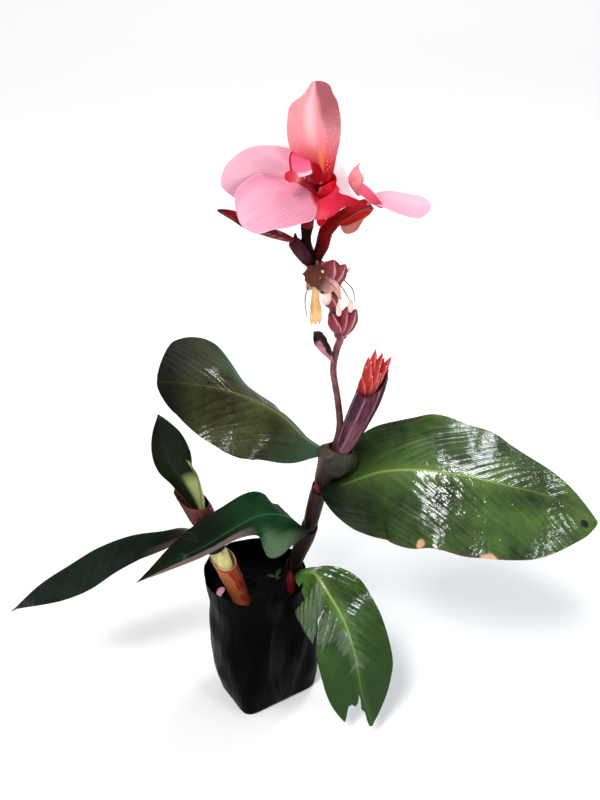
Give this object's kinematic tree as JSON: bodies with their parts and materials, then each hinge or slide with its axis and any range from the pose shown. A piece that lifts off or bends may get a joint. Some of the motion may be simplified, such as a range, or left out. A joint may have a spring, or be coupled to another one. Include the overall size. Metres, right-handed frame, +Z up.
{
  "type": "canna lily plant",
  "caption": "Dwarf canna lily in flower: broad sheathing leaves, pink blooms, pods and a side shoot, standing in a soft black nursery bag of potting mix.",
  "frame": {"origin": "on the surface that the bag stands on, under the middle of its mouth and stem side", "axes": "+Z up; the widest leaf points to +X; the view of the picture looks along +Y, 30 degrees down"},
  "size_m": [0.5547, 0.1687, 0.6164],
  "materials": {
    "bag": "glossy, wrinkled black film",
    "potting_mix": "damp peat and bark, dark brown",
    "rhizome": "fleshy, pale brown",
    "stem": "smooth dark maroon, green below",
    "bud": "coral red, smooth",
    "leaf": "waxy dark green with wet highlights, yellow-green midrib",
    "sheath": "maroon to orange-brown, satin",
    "bract": "streaked purple, satin",
    "pod": "dusty rose-maroon, matt",
    "withered": "dry tan and brown",
    "ovary": "dark maroon, warty",
    "throat": "crimson, satin",
    "petal": "satin pink, crimson at the base",
    "sepal": "dark red, satin",
    "weed": "green, matt"
  },
  "bodies": {
    "root": {"nursery_bag": "bag", "potting_mix": "potting_mix", "rhizome": "rhizome", "main_stem": "stem", "side_shoot": "stem", "basal_bud": "bud", "stem_bud": "bud", "side_buds": "bud", "leaf_lower_right": "leaf", "leaf_lower_left": "leaf", "leaf_right": "leaf", "leaf_upper_left": "leaf", "leaf_far_left": "leaf", "leaf_young": "leaf", "shoot_lower_sheath": "sheath", "shoot_upper_sheath": "sheath", "flower_bract": "bract", "stalk_bract": "bract", "seed_pods_upper": "pod", "seed_pods_lower": "pod", "withered_wrap": "withered", "withered_petal": "withered", "ovary_left": "ovary", "ovary_front": "ovary", "ovary_back": "ovary", "flower_front_throat": "throat", "flower_back_throat": "throat", "flower_front_stamen": "throat", "flower_front_scroll": "throat", "flower_back_stamen": "throat", "flower_back_strip": "throat", "flower_front_petal_near": "petal", "flower_front_petal_left": "petal", "flower_front_petal_top": "petal", "flower_front_petal_low": "petal", "flower_back_petal_right": "petal", "flower_back_petal_pale": "petal", "flower_back_petal_low": "petal", "fallen_petals": "petal", "flower_front_sepal": "sepal", "flower_back_sepal": "sepal", "flower_left_sepal": "sepal", "weed_seedling": "weed"}
  },
  "joints": []
}
